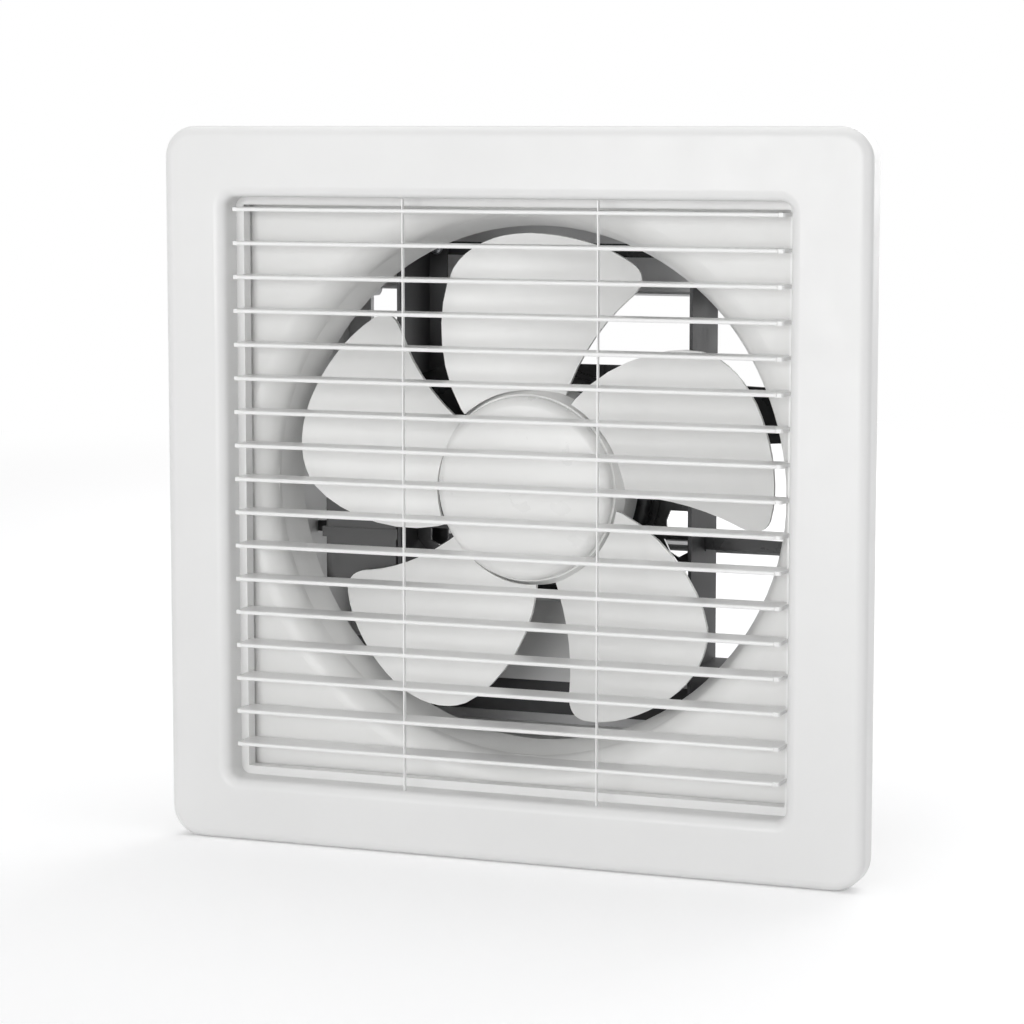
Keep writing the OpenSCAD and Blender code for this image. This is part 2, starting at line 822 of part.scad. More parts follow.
// Screws that hold the legs' shelves to the duct.
module shelf_screws() {
  color(bright_steel)
    for (s = [0, 1])
      mirror([s, 0, 0])
        translate([tie_half - sheet_t, shelf_screw_y, shelf_z + shelf_tab_h / 2])
          rotate([0, 0, -90])
            screw(duct_screw_l);
}

// Screws that hold the bracket's ears to the legs.
module bracket_screws() {
  color(bright_steel)
    for (s = [0, 1])
      mirror([s, 0, 0])
        translate([web_in_x - sheet_t, ear_screw_y, ear_z])
          rotate([0, 0, -90])
            screw(ear_screw_l);
}

// Screws that hold the tie bars to the duct.
module tie_screws() {
  color(bright_steel)
    for (s = [0, 1])
      for (z = [top_tie_z, -bottom_tie_z])
        mirror([s, 0, 0])
          translate([tie_half - sheet_t, tab_screw_y, z])
            rotate([0, 0, -90])
              screw(duct_screw_l);
}

// Motor

module motor_front_shell() {
  nose_r = 15;
  shoulder_y = motor_front_y + 4;
  edge_r = 5;
  flange_y = bracket_y - shell_t;
  color(black_steel)
    difference() {
      union() {
        turned()
          difference() {
            union() {
              polygon([[0, motor_front_y], [nose_r, motor_front_y], [motor_front_r - edge_r, shoulder_y],
                       [motor_front_r - edge_r, bracket_y], [0, bracket_y]]);
              translate([motor_front_r - edge_r, shoulder_y + edge_r])
                circle(edge_r);
              translate([motor_front_r - 2 * edge_r, shoulder_y + edge_r])
                square([2 * edge_r, bracket_y - shoulder_y - edge_r]);
              translate([0, bracket_y - 1])
                square([motor_r, shell_joint_y - bracket_y + 1]);
            }
            polygon([[nose_r - shell_t, motor_front_y + shell_t],
                     [motor_front_r - edge_r, shoulder_y + shell_t],
                     [motor_front_r - shell_t, shoulder_y + edge_r], [motor_front_r - shell_t, flange_y],
                     [motor_r - shell_t, flange_y], [motor_r - shell_t, shell_joint_y + 1],
                     [-1, shell_joint_y + 1], [-1, bearing_front_y + bearing_l],
                     [nose_r - shell_t, bearing_front_y + bearing_l]]);
            translate([-1, motor_front_y + shell_t])
              square([bearing_r + run_gap + 1, bearing_l + 4]);
            translate([-1, motor_front_y - 1])
              square([shaft_r + 1.5, shell_t + 2]);
          }
        plate(flange_y, bracket_y)
          difference() {
            union() {
              circle(motor_flange_r);
              for (a = [45 : 90 : 315])
                rotate(a)
                  translate([motor_screw_pcr, 0])
                    circle(motor_ear_r);
            }
            circle(motor_front_r - shell_t);
          }
      }
      motor_holes(flange_y - 1, bracket_y + 1);
    }
}

module motor_holes(y0, y1) {
  for (a = [45 : 90 : 315])
    rotate([0, a, 0])
      translate([motor_screw_pcr, 0, 0])
        rod_y(screw_r + screw_gap, y0, y1);
}

module motor_rear_shell() {
  color(black_steel)
    difference() {
      turned()
        difference() {
          translate([0, shell_joint_y])
            square([motor_r, motor_rear_y - shell_joint_y]);
          difference() {
            translate([-1, shell_joint_y - 1])
              square([motor_r - shell_t + 1, motor_rear_y - shell_joint_y - shell_t + 1]);
            translate([bearing_r + run_gap, bearing_rear_y - 0.2])
              square([2.4, bearing_l + 2]);
          }
        }
      for (a = [0 : 45 : 315])
        rotate([0, a, 0])
          translate([30, 0, 0])
            rod_y(3.5, motor_rear_y - shell_t - 1, motor_rear_y + 1);
    }
}

module stator_core() {
  slot_w = 4;
  slot_l = 9;
  color(bright_steel)
    plate(stator_front_y, stator_rear_y)
      difference() {
        circle(stator_r);
        circle(rotor_r + air_gap);
        for (a = [0 : 30 : 330])
          rotate(a)
            translate([rotor_r, -slot_w / 2])
              square([slot_l, slot_w]);
      }
}

module stator_windings() {
  mid_r = (winding_in_r + winding_out_r) / 2;
  half_w = (winding_out_r - winding_in_r) / 2;
  color(copper_wire)
    for (y = [stator_front_y - part_gap - winding_l / 2, stator_rear_y + part_gap + winding_l / 2])
      turned()
        translate([mid_r, y])
          round_rect(2 * half_w, winding_l, 2);
}

module bearing(y0) {
  color(bronze_metal)
    plate(y0, y0 + bearing_l)
      difference() {
        circle(bearing_r);
        circle(shaft_r + run_gap);
      }
}

module front_bearing() {
  bearing(bearing_front_y);
}

module rear_bearing() {
  bearing(bearing_rear_y);
}

module motor_screws() {
  color(bright_steel)
    for (a = [45 : 90 : 315])
      rotate([0, a, 0])
        translate([motor_screw_pcr, bracket_y - shell_t, 0])
          screw(motor_screw_l);
}

// Electrical boxes

module terminal_box() {
  color(grey_plastic)
    difference() {
      union() {
        difference() {
          translate([0, 0, box_mid_z])
            plate(box_front_y, box_rear_y - box_wall)
              round_rect(box_w, box_h, box_corner_r);
          translate([0, 0, box_mid_z])
            plate(box_front_y + box_wall, box_rear_y)
              round_rect(box_w - 2 * box_wall, box_h - 2 * box_wall, box_corner_r - box_wall);
        }
        for (x = [-1, 1])
          for (z = [-1, 1])
            translate([x * box_post_x, 0, box_mid_z + z * box_post_z])
              rod_y(box_post_r, box_front_y + 1, box_rear_y - box_wall);
      }
      lid_holes(box_rear_y - box_screw_l - 2, box_rear_y);
      translate([inlet_x, inlet_y, box_bottom_z - 1])
        cylinder(r = gland_spigot_r + screw_gap, h = box_wall + 2);
    }
}

module lid_holes(y0, y1) {
  for (x = [-1, 1])
    for (z = [-1, 1])
      translate([x * box_post_x, 0, box_mid_z + z * box_post_z])
        rod_y(screw_r + screw_gap, y0, y1);
}

module terminal_box_lid() {
  color(grey_plastic)
    difference() {
      translate([0, 0, box_mid_z])
        plate(box_rear_y - box_wall, box_rear_y)
          round_rect(box_w, box_h, box_corner_r);
      lid_holes(box_rear_y - box_wall - 1, box_rear_y + 1);
    }
}

module lid_screws() {
  color(bright_steel)
    for (x = [-1, 1])
      for (z = [-1, 1])
        translate([x * box_post_x, box_rear_y, box_mid_z + z * box_post_z])
          mirror([0, 1, 0])
            screw(box_screw_l);
}

module cable_gland() {
  color(dark_plastic)
    translate([inlet_x, inlet_y, box_bottom_z])
      difference() {
        union() {
          translate([0, 0, -gland_l])
            cylinder(r = gland_r - 1, h = gland_l);
          translate([0, 0, -5])
            cylinder(r = gland_r, h = 5, $fn = 6);
          cylinder(r = gland_spigot_r, h = 4);
        }
        translate([0, 0, -gland_l - 1])
          cylinder(r = inlet_bore_r, h = gland_l + 6);
      }
}

module capacitor() {
  color(dark_plastic)
    translate([capacitor_right_x - capacitor_w / 2, 0, capacitor_top_z - capacitor_h / 2])
      plate(capacitor_front_y, capacitor_rear_y)
        round_rect(capacitor_w, capacitor_h, 3);
}

// A steel strap that holds the capacitor against the bracket's lower arm.
module capacitor_strap() {
  in_l = capacitor_right_x - capacitor_w - strap_t;
  in_r = capacitor_right_x + strap_t;
  color(bright_steel)
    difference() {
      box(in_l - strap_t, in_r, capacitor_front_y - strap_t, bracket_y,
          strap_z - strap_h / 2, strap_z + strap_h / 2);
      box(in_l, in_r - strap_t, capacitor_front_y, bracket_y + 1, strap_z - strap_h, strap_z + strap_h);
    }
}

// Impeller

function bezier(a, b, c, d, t) =
  pow(1 - t, 3) * a + 3 * pow(1 - t, 2) * t * b + 3 * (1 - t) * t * t * c + pow(t, 3) * d;

// Control points of a blade's outline as seen from the room with the blade pointing up,
// in shares of the tip radius.
blade_left = [[-0.2233, 0.2316], [-0.3805, 0.4136], [-0.3846, 0.7113], [-0.306, 0.8586]];
blade_left_tip = [[-0.306, 0.8586], [-0.2523, 0.9462], [-0.1406, 1], [0, 1]];
blade_right_tip = [[0, 1], [0.1406, 1], [0.2978, 0.9562], [0.397, 0.8768]];
blade_corner = [[0.397, 0.8768], [0.4466, 0.8322], [0.4218, 0.7825], [0.3722, 0.7395]];
blade_right = [[0.3722, 0.7395], [0.2647, 0.6369], [0.1489, 0.4632], [0.1075, 0.2316]];
blade_steps = 8;

function curve(p) = [for (i = [0 : blade_steps - 1]) bezier(p[0], p[1], p[2], p[3], i / blade_steps)];

module blade_plan() {
  scale(blade_tip_r)
    polygon(concat(curve(blade_left), curve(blade_left_tip), curve(blade_right_tip),
                   curve(blade_corner), curve(blade_right), [blade_right[3]]));
}

// One blade pointing up: a thin curved sheet, pitched about the blade's own length.
module blade() {
  intersection() {
    plate(hub_front_y - 8, hub_rear_y)
      difference() {
        blade_plan();
        circle(hub_r - 1);
      }
    translate([0, blade_mid_y, 0])
      rotate([0, 0, blade_pitch_deg])
        translate([0, blade_curve_r, hub_r / 2])
          difference() {
            cylinder(r = blade_curve_r + blade_t / 2, h = blade_tip_r, $fn = 180);
            translate([0, 0, -1])
              cylinder(r = blade_curve_r - blade_t / 2, h = blade_tip_r + 2, $fn = 180);
          }
  }
}

module impeller() {
  rib_t = 2;
  spigot_r = cap_face_r - 2.6;
  color(white_plastic)
    difference() {
      union() {
        for (i = [0 : blade_count - 1])
          rotate([0, blade_turn_deg + i * 360 / blade_count, 0])
            blade();
        turned()
          union() {
            polygon([[hub_front_r, hub_front_y], [hub_r, hub_front_y + hub_taper], [hub_r, hub_rear_y],
                     [hub_r - hub_wall, hub_rear_y], [hub_r - hub_wall, hub_front_y + hub_taper],
                     [hub_front_r - hub_wall, hub_front_y + hub_wall], [0, hub_front_y + hub_wall],
                     [0, hub_front_y]]);
            translate([spigot_r - 2, hub_front_y - 3.6])
              square([2, 4]);
            translate([0, hub_front_y])
              square([boss_r, boss_rear_y - hub_front_y]);
          }
        for (i = [0 : blade_count - 1])
          rotate([0, 36 + i * 360 / blade_count, 0])
            box(boss_r - 1, hub_front_r - hub_wall + 1, hub_front_y + 1, hub_front_y + 12,
                -rib_t / 2, rib_t / 2);
      }
      rod_y(shaft_r + run_gap, hub_front_y - 1, boss_rear_y + 1);
      box(-pin_half - 0.5, pin_half + 0.5, pin_y - pin_r - 0.1, boss_rear_y + 1,
          -pin_r - 0.1, pin_r + 0.1);
    }
}

// Half section of the cap, drawn in by d on all sides but the rear.
module cap_profile(d, rear_y) {
  rim_x = cap_face_r - cap_round_r;
  rim_y = cap_front_y + rim_x * rim_x / (2 * dome_r) + cap_round_r;
  intersection() {
    translate([0, cap_front_y + dome_r])
      circle(dome_r - d, $fn = 360);
    union() {
      translate([0, cap_front_y])
        square([rim_x, rear_y - cap_front_y]);
      translate([rim_x, rim_y])
        circle(cap_round_r - d);
      translate([rim_x - 1, rim_y])
        square([cap_round_r + 1 - d, rear_y - rim_y]);
    }
    square([cap_face_r, rear_y]);
  }
}

module spinner_cap() {
  color(white_plastic)
    turned()
      difference() {
        cap_profile(0, hub_front_y);
        cap_profile(shell_t, hub_front_y + 1);
      }
}

module motor_shaft() {
  color(bright_steel)
    difference() {
      union() {
        rod_y(shaft_r, hub_front_y, motor_rear_y - shell_t - 1);
        rod_y(stud_r, stud_front_y, hub_front_y + 1);
      }
      translate([0, pin_y, 0])
        rod_x(pin_r + run_gap, -shaft_r - 1, shaft_r + 1);
    }
}

module rotor_core() {
  color(bright_steel)
    plate(stator_front_y - 1, stator_rear_y + 1)
      difference() {
        circle(rotor_r);
        circle(shaft_r + run_gap);
      }
}

module drive_pin() {
  color(bright_steel)
    translate([0, pin_y, 0])
      rod_x(pin_r, -pin_half, pin_half);
}

module impeller_nut() {
  color(bright_steel)
    translate([0, nut_front_y, 0])
      rotate([-90, 0, 0])
        difference() {
          cylinder(r = nut_r, h = nut_h, $fn = 6);
          translate([0, 0, -1])
            cylinder(r = stud_r + run_gap, h = nut_h + 2);
        }
}

// Rear shutters

// A pivot ear on the rear of the frame, from x0 to x1.
module pivot_lug(x0, x1) {
  difference() {
    union() {
      box(x0, x1, frame_rear_y - 1, shutter_y, -lug_r, lug_r);
      translate([0, shutter_y, 0])
        rod_x(lug_r, x0, x1);
    }
    translate([0, shutter_y, 0])
      rod_x(pivot_r + run_gap, x0 - 1, x1 + 1);
  }
}

module shutter_frame() {
  notch_w = 9;
  notch_h = crank_l * sin(crank_lift_deg) + rod_end + 2;
  color(grey_plastic)
    union() {
      plate(duct_y, frame_rear_y)
        difference() {
          round_rect(duct_outer_w, duct_outer_w, frame_corner_r);
          translate([-shutter_open_w / 2, frame_bottom_z])
            square([shutter_open_w, frame_top_z - frame_bottom_z]);
          translate([crank_x - 1.5, frame_top_z - 1])
            square([notch_w, notch_h + 1]);
          for (x = [-1, 1])
            for (z = [-1, 1])
              translate([x * frame_screw_at, z * frame_screw_at])
                circle(screw_r + screw_gap);
        }
      for (k = [0, 1, 2])
        translate([0, 0, shutter_top_z - k * shutter_pitch]) {
          pivot_lug(lug_in_x, lug_in_x + lug_t);
          pivot_lug(-lug_in_x - lug_t, -lug_in_x);
        }
    }
}

module frame_screws() {
  color(bright_steel)
    for (x = [-1, 1])
      for (z = [-1, 1])
        translate([x * frame_screw_at, frame_rear_y, z * frame_screw_at])
          mirror([0, 1, 0])
            screw(frame_screw_l);
}

// One shutter as it hangs shut, with its pivots on the X axis.
module shutter_blade() {
  pin_end_x = rod_near_x + rod_t + 0.6;
  union() {
    translate([shutter_left_x, 0, 0])
      rotate([90, 0, 90])
        linear_extrude(shutter_right_x - shutter_left_x)
          polygon([
            [-shutter_t / 2, 0],
            [-shutter_t / 2, -shutter_len],
            [shutter_lip, -shutter_len],
            [shutter_lip, -shutter_len + shutter_t],
            [shutter_t / 2, -shutter_len + shutter_t],
            [shutter_t / 2, 0]
          ]);
    rod_x(pivot_r, -lug_in_x - lug_t, lug_in_x + lug_t);
    translate([crank_x, 0, 0])
      rotate([90, 0, 90])
        linear_extrude(crank_t)
          rotate(-crank_lift_deg)
            union() {
              circle(r = crank_eye_r);
              translate([-crank_l, -crank_arm_w / 2])
                square([crank_l, crank_arm_w]);
              translate([-crank_l, 0])
                circle(r = crank_eye_r);
            }
    rotate([-crank_lift_deg, 0, 0])
      translate([0, -crank_l, 0])
        rod_x(crank_pin_r, crank_x + crank_t / 2, pin_end_x);
  }
}

module shutter(k) {
  color(grey_plastic)
    translate([0, shutter_y, shutter_top_z - k * shutter_pitch])
      rotate([shutter_open_deg, 0, 0])
        shutter_blade();
}

module top_shutter() {
  shutter(0);
}

module middle_shutter() {
  shutter(1);
}

module bottom_shutter() {
  shutter(2);
}

// A flat bar that joins the three cranks.
module link_rod() {
  pin_dy = -crank_l * cos(shutter_open_deg - crank_lift_deg);
  pin_dz = -crank_l * sin(shutter_open_deg - crank_lift_deg);
  color(bright_steel)
    translate([0, shutter_y + pin_dy, shutter_top_z + pin_dz])
      difference() {
        box(rod_near_x, rod_near_x + rod_t, -rod_w / 2, rod_w / 2, -2 * shutter_pitch - rod_end, rod_end);
        rod_x(crank_pin_r + run_gap, rod_near_x - 1, rod_near_x + rod_t + 1);
        for (k = [1, 2])
          translate([0, 0, -k * shutter_pitch])
            rod_x(crank_pin_r + loose_gap, rod_near_x - 1, rod_near_x + rod_t + 1);
      }
}

front_panel();
louvre_grille();
cover_clips();
fan_housing();
left_leg();
right_leg();
top_tie_bar();
bottom_tie_plate();
motor_bracket();
leg_screws();
shelf_screws();
bracket_screws();
tie_screws();
motor_front_shell();
motor_rear_shell();
stator_core();
stator_windings();
front_bearing();
rear_bearing();
motor_screws();
terminal_box();
terminal_box_lid();
lid_screws();
cable_gland();
capacitor();
capacitor_strap();
impeller();
spinner_cap();
motor_shaft();
rotor_core();
drive_pin();
impeller_nut();
shutter_frame();
frame_screws();
top_shutter();
middle_shutter();
bottom_shutter();
link_rod();
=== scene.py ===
"""A square wall exhaust fan on its bottom edge, seen from the front right and a little above."""

import json
import math

import bmesh
import bpy
from mathutils import Matrix, Vector


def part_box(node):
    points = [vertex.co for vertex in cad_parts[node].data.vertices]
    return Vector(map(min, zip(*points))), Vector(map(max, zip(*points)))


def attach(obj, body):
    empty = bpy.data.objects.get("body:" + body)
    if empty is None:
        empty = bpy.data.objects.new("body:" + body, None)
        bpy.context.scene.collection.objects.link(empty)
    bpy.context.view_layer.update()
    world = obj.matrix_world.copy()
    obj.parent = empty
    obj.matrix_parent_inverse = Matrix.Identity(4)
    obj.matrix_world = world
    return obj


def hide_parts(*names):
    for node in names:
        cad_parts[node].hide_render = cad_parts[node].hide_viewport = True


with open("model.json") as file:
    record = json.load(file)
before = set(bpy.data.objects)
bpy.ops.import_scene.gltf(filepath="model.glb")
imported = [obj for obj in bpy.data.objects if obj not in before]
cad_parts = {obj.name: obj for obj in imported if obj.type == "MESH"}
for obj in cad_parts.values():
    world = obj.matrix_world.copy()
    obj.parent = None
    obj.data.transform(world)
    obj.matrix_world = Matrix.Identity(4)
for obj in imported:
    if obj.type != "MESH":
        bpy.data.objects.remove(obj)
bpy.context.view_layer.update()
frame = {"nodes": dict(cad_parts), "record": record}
nodes = frame["nodes"]
scene = bpy.context.scene
FLOOR_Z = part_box("front_panel")[0][2]


# Camera
CAMERA_PLACE = (0.549, -1.409, 0.1723)
CAMERA_LENS_MM = 113.8
CAMERA_DOWN_DEG = 6.84
CAMERA_TURN_DEG = 21.25

cam_data = bpy.data.cameras.new("camera")
cam_data.lens = CAMERA_LENS_MM
cam_data.sensor_width = 36.0
camera = bpy.data.objects.new("camera", cam_data)
camera.location = CAMERA_PLACE
camera.rotation_euler = (math.radians(90 - CAMERA_DOWN_DEG), 0.0, math.radians(CAMERA_TURN_DEG))
scene.collection.objects.link(camera)
scene.camera = camera


# Studio
AMBIENT = 0.34
FLOOR_GLOW = 0.22
FADE_START = 0.9
FADE_STOP = 1.9
FLOOR_HALF = 2.4
FLOOR_AHEAD = 0.4


def lamp(name, place, aim, size, power):
    """A square soft light that faces a point."""
    data = bpy.data.lights.new(name, "AREA")
    data.shape = "SQUARE"
    data.size = size
    data.energy = power
    light = bpy.data.objects.new(name, data)
    light.location = place
    light.rotation_euler = (Vector(aim) - Vector(place)).to_track_quat("-Z", "Y").to_euler()
    scene.collection.objects.link(light)


def seen_rays(tree):
    """1 where a camera, glossy or transmission ray looks, and 0 for the light that falls on things."""
    path = tree.nodes.new("ShaderNodeLightPath")
    total = path.outputs["Is Camera Ray"]
    for other in ("Is Glossy Ray", "Is Transmission Ray"):
        both = tree.nodes.new("ShaderNodeMath")
        both.operation = "MAXIMUM"
        tree.links.new(total, both.inputs[0])
        tree.links.new(path.outputs[other], both.inputs[1])
        total = both.outputs[0]
    return total


def pale_floor():
    """White paper under the object, which keeps the object's shadow."""
    bm = bmesh.new()
    bmesh.ops.create_grid(bm, x_segments=1, y_segments=1, size=1.0)
    bmesh.ops.scale(bm, vec=(FLOOR_HALF, FLOOR_HALF, 1.0), verts=bm.verts)
    mesh = bpy.data.meshes.new("floor")
    bm.to_mesh(mesh)
    bm.free()
    floor = bpy.data.objects.new("floor", mesh)
    floor.location = (0.0, FLOOR_AHEAD, FLOOR_Z)
    scene.collection.objects.link(floor)
    mat = bpy.data.materials.new("floor_paper")
    mat.use_nodes = True
    tree = mat.node_tree
    shader = tree.nodes["Principled BSDF"]
    shader.inputs["Base Color"].default_value = (0.93, 0.93, 0.935, 1.0)
    shader.inputs["Roughness"].default_value = 0.9
    shader.inputs["Specular IOR Level"].default_value = 0.1
    shader.inputs["Emission Color"].default_value = (1.0, 1.0, 1.0, 1.0)
    seen = seen_rays(tree)
    glow = tree.nodes.new("ShaderNodeMath")
    glow.operation = "MULTIPLY"
    glow.inputs[1].default_value = FLOOR_GLOW
    tree.links.new(seen, glow.inputs[0])
    tree.links.new(glow.outputs[0], shader.inputs["Emission Strength"])
    white = tree.nodes.new("ShaderNodeEmission")
    where = tree.nodes.new("ShaderNodeTexCoord")
    away = tree.nodes.new("ShaderNodeVectorMath")
    away.operation = "LENGTH"
    tree.links.new(where.outputs["Object"], away.inputs[0])
    fade = tree.nodes.new("ShaderNodeMapRange")
    fade.interpolation_type = "SMOOTHSTEP"
    fade.inputs["From Min"].default_value = FADE_START
    fade.inputs["From Max"].default_value = FADE_STOP
    tree.links.new(away.outputs["Value"], fade.inputs["Value"])
    part = tree.nodes.new("ShaderNodeMath")
    part.operation = "MULTIPLY"
    tree.links.new(fade.outputs["Result"], part.inputs[0])
    tree.links.new(seen, part.inputs[1])
    mix = tree.nodes.new("ShaderNodeMixShader")
    tree.links.new(part.outputs[0], mix.inputs["Fac"])
    tree.links.new(shader.outputs[0], mix.inputs[1])
    tree.links.new(white.outputs[0], mix.inputs[2])
    tree.links.new(mix.outputs[0], tree.nodes["Material Output"].inputs["Surface"])
    mesh.materials.append(mat)


def surroundings():
    """White all round as seen, and a softer grey as the light that it gives."""
    world = bpy.data.worlds.new("studio")
    scene.world = world
    world.use_nodes = True
    tree = world.node_tree
    tree.nodes.clear()
    seen = tree.nodes.new("ShaderNodeBackground")
    seen.inputs["Color"].default_value = (1.0, 1.0, 1.0, 1.0)
    lit = tree.nodes.new("ShaderNodeBackground")
    lit.inputs["Color"].default_value = (AMBIENT, AMBIENT, AMBIENT, 1.0)
    mix = tree.nodes.new("ShaderNodeMixShader")
    out = tree.nodes.new("ShaderNodeOutputWorld")
    tree.links.new(seen_rays(tree), mix.inputs["Fac"])
    tree.links.new(lit.outputs[0], mix.inputs[1])
    tree.links.new(seen.outputs[0], mix.inputs[2])
    tree.links.new(mix.outputs[0], out.inputs["Surface"])


pale_floor()
surroundings()
lamp("key_light", (-0.35, -2.8, 0.06), (0.0, 0.0, 0.0), 1.5, 42.0)
lamp("top_light", (0.0, 0.35, 2.3), (0.0, 0.2, -0.1), 2.6, 30.0)
lamp("fill_light", (2.4, -0.6, 0.6), (0.0, 0.0, 0.0), 1.2, 5.0)
lamp("rear_light", (0.3, 2.0, 0.6), (0.0, 0.0, 0.0), 1.2, 14.0)
scene.view_settings.view_transform = "Standard"


# Materials
class Surface:
    """A node-based material whose colour, roughness and relief all vary over the surface."""

    def __init__(self, name):
        self.mat = bpy.data.materials.new(name)
        self.mat.use_nodes = True
        self.tree = self.mat.node_tree
        self.shader = self.tree.nodes["Principled BSDF"]
        self.where = self.tree.nodes.new("ShaderNodeTexCoord").outputs["Object"]
        self.relief = None

    def add(self, kind, **inputs):
        node = self.tree.nodes.new(kind)
        for key, value in inputs.items():
            name = key.replace("_", " ")
            if isinstance(value, bpy.types.NodeSocket):
                self.tree.links.new(value, node.inputs[name])
            else:
                node.inputs[name].default_value = value
        return node

    def stretched(self, scale):
        """Object coordinates stretched by a factor for each axis."""
        node = self.tree.nodes.new("ShaderNodeMapping")
        self.tree.links.new(self.where, node.inputs["Vector"])
        node.inputs["Scale"].default_value = scale
        return node.outputs["Vector"]

    def noise(self, scale, detail=3.0, at=None):
        node = self.add("ShaderNodeTexNoise", Scale=scale, Detail=detail)
        self.tree.links.new(at or self.where, node.inputs["Vector"])
        return node.outputs["Fac"]

    def ramp(self, fac, low, high, start=0.3, stop=0.7):
        node = self.tree.nodes.new("ShaderNodeValToRGB")
        node.color_ramp.elements[0].position = start
        node.color_ramp.elements[1].position = stop
        node.color_ramp.elements[0].color = (*low, 1.0)
        node.color_ramp.elements[1].color = (*high, 1.0)
        self.tree.links.new(fac, node.inputs["Fac"])
        return node.outputs["Color"]

    def spread(self, fac, low, high, start=0.3, stop=0.7):
        node = self.tree.nodes.new("ShaderNodeMapRange")
        self.tree.links.new(fac, node.inputs["Value"])
        node.inputs["From Min"].default_value = start
        node.inputs["From Max"].default_value = stop
        node.inputs["To Min"].default_value = low
        node.inputs["To Max"].default_value = high
        return node.outputs["Result"]

    def colour(self, socket):
        self.tree.links.new(socket, self.shader.inputs["Base Color"])

    def rough(self, socket):
        self.tree.links.new(socket, self.shader.inputs["Roughness"])

    def bump(self, height, distance, strength=1.0):
        node = self.tree.nodes.new("ShaderNodeBump")
        node.inputs["Distance"].default_value = distance
        node.inputs["Strength"].default_value = strength
        self.tree.links.new(height, node.inputs["Height"])
        if self.relief is not None:
            self.tree.links.new(self.relief, node.inputs["Normal"])
        self.relief = node.outputs["Normal"]
        self.tree.links.new(self.relief, self.shader.inputs["Normal"])

    def set(self, **inputs):
        for key, value in inputs.items():
            self.shader.inputs[key.replace("_", " ")].default_value = value


def moulded(name, tone, rough, grain=900.0, depth=0.00002, spread=0.02):
    """Moulded plastic: a faint flow pattern in the colour, and a fine skin."""
    s = Surface(name)
    flow = s.noise(9.0, 4.0)
    low = tuple(c * (1.0 - spread) for c in tone)
    high = tuple(min(1.0, c * (1.0 + spread)) for c in tone)
    s.colour(s.ramp(flow, low, high))
    s.rough(s.spread(s.noise(60.0, 5.0), rough - 0.04, rough + 0.05))
    s.bump(s.noise(grain, 2.0), depth)
    s.bump(s.noise(22.0, 2.0), 0.00012)
    return s.mat


def painted(name, tone, rough, coat=0.35):
    """Stoved paint on sheet steel, with orange peel and a little dust."""
    s = Surface(name)
    dust = s.noise(35.0, 8.0)
    low = tone
    high = tuple(c * 1.5 + 0.006 for c in tone)
    s.colour(s.ramp(dust, low, high, 0.45, 0.8))
    s.rough(s.spread(dust, rough, rough + 0.16, 0.4, 0.8))
    s.bump(s.noise(420.0, 1.0), 0.00005)
    s.bump(s.noise(40.0, 1.0), 0.0003)
    s.set(Coat_Weight=coat, Coat_Roughness=0.08, Specular_IOR_Level=0.3)
    return s.mat


def brushed(name, tone, rough, along):
    """Bare or plated steel with fine drawn lines along one axis."""
    s = Surface(name)
    lines = s.noise(900.0, 3.0, s.stretched(along))
    low = tuple(c * 0.82 for c in tone)
    s.colour(s.ramp(lines, low, tone))
    s.rough(s.spread(lines, rough - 0.06, rough + 0.1))
    s.bump(lines, 0.00002)
    s.set(Metallic=1.0)
    return s.mat


def laminated(name):
    """The edges of stacked steel sheets, half a millimetre thick, along the Y axis."""
    s = Surface(name)
    wave = s.tree.nodes.new("ShaderNodeTexWave")
    wave.bands_direction = "Y"
    wave.inputs["Scale"].default_value = 300.0
    wave.inputs["Distortion"].default_value = 0.3
    s.tree.links.new(s.where, wave.inputs["Vector"])
    s.colour(s.ramp(wave.outputs["Fac"], (0.12, 0.12, 0.13), (0.42, 0.42, 0.44), 0.1, 0.5))
    s.rough(s.spread(s.noise(80.0, 4.0), 0.35, 0.55))
    s.bump(wave.outputs["Fac"], 0.00012)
    s.set(Metallic=0.9)
    return s.mat


def enamelled(name):
    """Varnished copper wire."""
    s = Surface(name)
    s.colour(s.ramp(s.noise(160.0, 4.0), (0.36, 0.11, 0.03), (0.62, 0.24, 0.08)))
    s.rough(s.spread(s.noise(60.0, 3.0), 0.22, 0.4))
    s.bump(s.noise(700.0, 2.0), 0.00003)
    s.set(Metallic=0.85, Coat_Weight=0.5, Coat_Roughness=0.15)
    return s.mat


def sintered(name):
    """Sintered bronze with open pores."""
    s = Surface(name)
    pores = s.noise(1500.0, 4.0)
    s.colour(s.ramp(pores, (0.24, 0.14, 0.06), (0.58, 0.40, 0.19)))
    s.rough(s.spread(pores, 0.35, 0.6))
    s.bump(pores, 0.00006)
    s.set(Metallic=0.95)
    return s.mat


